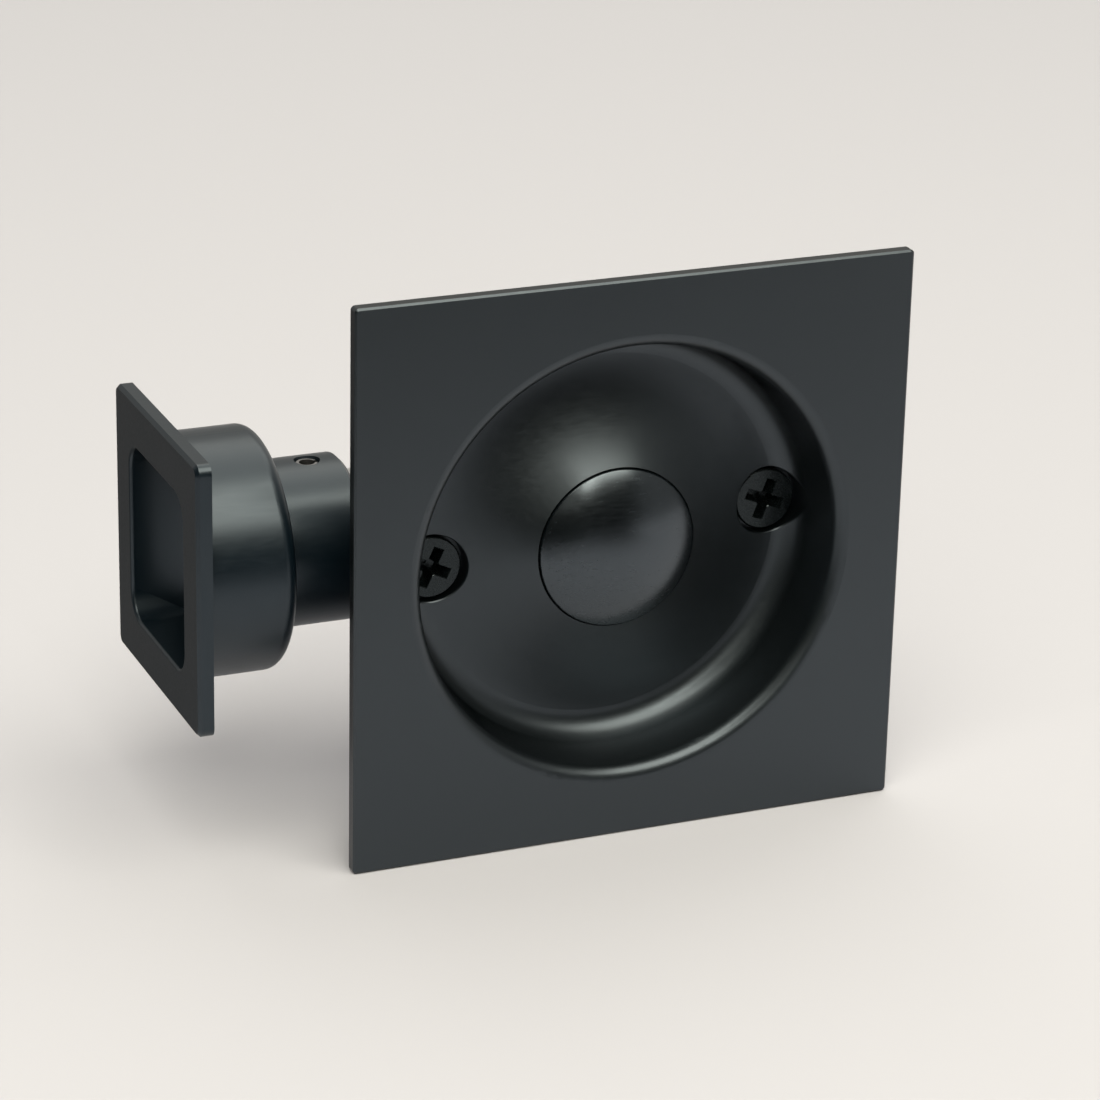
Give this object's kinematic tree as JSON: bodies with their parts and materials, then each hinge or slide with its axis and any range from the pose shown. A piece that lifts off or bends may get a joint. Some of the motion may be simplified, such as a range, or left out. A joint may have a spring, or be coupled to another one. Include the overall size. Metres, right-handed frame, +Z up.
{
  "type": "pocket door pull",
  "caption": "Square satin-black flush pull for a pocket door: round finger cup with a domed centre button and cross-recess screws, joined through the door to an edge pull.",
  "frame": {"origin": "cup axis on the back face of the square plate, which is the plane of the door's face", "axes": "-Y faces the hand in front of the door, +Y goes into the door, -X points to the door's edge, +Z is up"},
  "size_m": [0.0833, 0.034, 0.0666],
  "materials": {
    "plate_black": "satin black coat",
    "button_black": "satin black coat, a little smoother",
    "edge_black": "satin black coat",
    "screw_black": "black oxide",
    "zinc_steel": "zinc plated",
    "spring_steel": "bright spring steel"
  },
  "bodies": {
    "root": {"pull_plate": "plate_black", "centre_button": "button_black", "button_ring": "spring_steel", "plate_screws": "screw_black", "edge_pull": "edge_black", "carrier_bar": "zinc_steel", "bar_pin": "spring_steel"}
  },
  "joints": []
}
